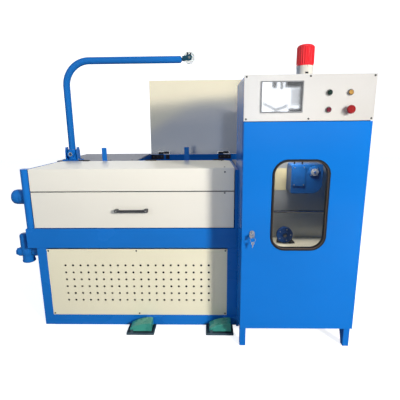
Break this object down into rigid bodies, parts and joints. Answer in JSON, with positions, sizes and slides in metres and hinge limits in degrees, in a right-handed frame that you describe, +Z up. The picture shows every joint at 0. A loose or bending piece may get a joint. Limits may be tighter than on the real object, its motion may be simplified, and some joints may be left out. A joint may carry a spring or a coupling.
{
  "type": "wire drawing machine",
  "caption": "Fine wire drawing machine: sheet metal body with a covered drawing tank, guide arm with pulley, windowed take-up cabinet, control panel, signal lamp and foot pedals.",
  "frame": {"origin": "on the floor, under the middle of the overall bounding box", "axes": "+Z up, +X to the right along the machine towards the take-up cabinet, +Y from the operator into the machine"},
  "size_m": [2.0614, 1.4724, 1.77],
  "materials": {
    "blue_paint": "gloss enamel",
    "navy_paint": "gloss enamel",
    "stainless": "satin",
    "perforated_sheet": "satin",
    "bright_steel": "bright",
    "chrome": "polished",
    "black_steel": "semi-gloss",
    "cone_steel": "ground",
    "dark_handle": "satin",
    "white_nylon": "satin",
    "polished_wheel": "turned",
    "spool_blue": "gloss enamel",
    "rubber": "matt",
    "window_glass": "clear",
    "screen": "gloss",
    "lamp_grey": "gloss",
    "lamp_red": "ribbed, translucent",
    "button_green": "gloss",
    "button_amber": "gloss",
    "button_red": "gloss",
    "stop_red": "gloss",
    "pedal_grey": "worn enamel",
    "pedal_green": "hammered enamel"
  },
  "bodies": {
    "machine": {"arm_bracket": "blue_paint", "back_panel": "blue_paint", "base_bottom_beam": "blue_paint", "base_side_panels": "blue_paint", "base_uprights": "blue_paint", "bed_beam": "blue_paint", "bed_plate": "blue_paint", "button_bezels": "bright_steel", "cabinet_back": "blue_paint", "cabinet_legs": "blue_paint", "cabinet_lining": "stainless", "cabinet_sides": "blue_paint", "cabinet_top_and_floors": "blue_paint", "cabinet_tray": "stainless", "control_panel": "stainless", "drain_fitting": "navy_paint", "drawing_cones": "cone_steel", "guide_arm": "blue_paint", "guide_box": "blue_paint", "inlet_cap": "navy_paint", "lamp_foot": "lamp_grey", "lamp_lens": "lamp_red", "left_end_wall": "blue_paint", "lid_hinge_pins": "bright_steel", "lid_stops": "blue_paint", "panel_surround": "blue_paint", "pedal_trays": "pedal_grey", "perforated_panel": "perforated_sheet", "pulley_fork": "navy_paint", "rear_decks": "stainless", "rear_hinge_pins": "black_steel", "rear_housing": "blue_paint", "right_end_wall": "blue_paint", "take_up_shafts": "bright_steel", "tank_partition": "blue_paint", "touch_screen": "screen"},
    "cabinet_door": {"cabinet_door": "blue_paint", "window_gasket": "rubber", "window_glass": "window_glass", "door_lock": "chrome"},
    "top_cover": {"top_cover": "stainless"},
    "front_flap": {"front_flap": "stainless", "flap_handle": "dark_handle"},
    "rear_cover": {"rear_cover": "stainless"},
    "guide_pulley": {"guide_pulley": "white_nylon"},
    "box_wheel": {"box_wheel": "polished_wheel"},
    "spool_flange": {"spool_flange": "spool_blue"},
    "start_button": {"start_button": "button_green"},
    "reset_button": {"reset_button": "button_amber"},
    "stop_button": {"stop_button": "button_red"},
    "emergency_stop": {"emergency_stop": "stop_red"},
    "pedal_left": {"pedal_treadle_left": "pedal_green"},
    "pedal_right": {"pedal_treadle_right": "pedal_green"}
  },
  "joints": [
    {"name": "door_hinge", "type": "hinge", "parent": "machine", "child": "cabinet_door", "pos_m": [1.02585, -0.65972, 0.127], "axis": [0, 0, 1], "range_deg": [0, 110]},
    {"name": "top_cover_hinge", "type": "hinge", "parent": "machine", "child": "top_cover", "pos_m": [-0.25165, 0.02578, 1.021], "axis": [-1, 0, 0], "range_deg": [0, 95]},
    {"name": "front_flap_hinge", "type": "hinge", "parent": "top_cover", "child": "front_flap", "pos_m": [-0.25165, -0.45372, 0.882], "axis": [-1, 0, 0], "range_deg": [0, 90]},
    {"name": "rear_cover_hinge", "type": "hinge", "parent": "machine", "child": "rear_cover", "pos_m": [0.33035, 0.69878, 1.024], "axis": [1, 0, 0], "range_deg": [0, 93]},
    {"name": "guide_pulley_spin", "type": "hinge", "parent": "machine", "child": "guide_pulley", "pos_m": [0.07635, 0.09978, 1.729], "axis": [0, 1, 0], "continuous": true},
    {"name": "box_wheel_spin", "type": "hinge", "parent": "machine", "child": "box_wheel", "pos_m": [0.82835, -0.43722, 0.99], "axis": [0, 1, 0], "continuous": true},
    {"name": "spool_spin", "type": "hinge", "parent": "machine", "child": "spool_flange", "pos_m": [0.67235, -0.44222, 0.604], "axis": [0, 1, 0], "continuous": true},
    {"name": "start_button_press", "type": "slide", "parent": "machine", "child": "start_button", "axis": [0, 1, 0], "range_m": [0, 0.003], "stiffness_N_per_m": 400},
    {"name": "reset_button_press", "type": "slide", "parent": "machine", "child": "reset_button", "axis": [0, 1, 0], "range_m": [0, 0.003], "stiffness_N_per_m": 400},
    {"name": "stop_button_press", "type": "slide", "parent": "machine", "child": "stop_button", "axis": [0, 1, 0], "range_m": [0, 0.003], "stiffness_N_per_m": 400},
    {"name": "emergency_stop_press", "type": "slide", "parent": "machine", "child": "emergency_stop", "axis": [0, 1, 0], "range_m": [0, 0.003]},
    {"name": "pedal_left_press", "type": "hinge", "parent": "machine", "child": "pedal_left", "pos_m": [-0.27165, -0.57222, 0.024], "axis": [0, 1, 0], "range_deg": [0, 4], "stiffness_Nm_per_rad": 60, "springref_deg": -6.88},
    {"name": "pedal_right_press", "type": "hinge", "parent": "machine", "child": "pedal_right", "pos_m": [0.22035, -0.57222, 0.024], "axis": [0, 1, 0], "range_deg": [0, 4], "stiffness_Nm_per_rad": 60, "springref_deg": -6.88}
  ]
}
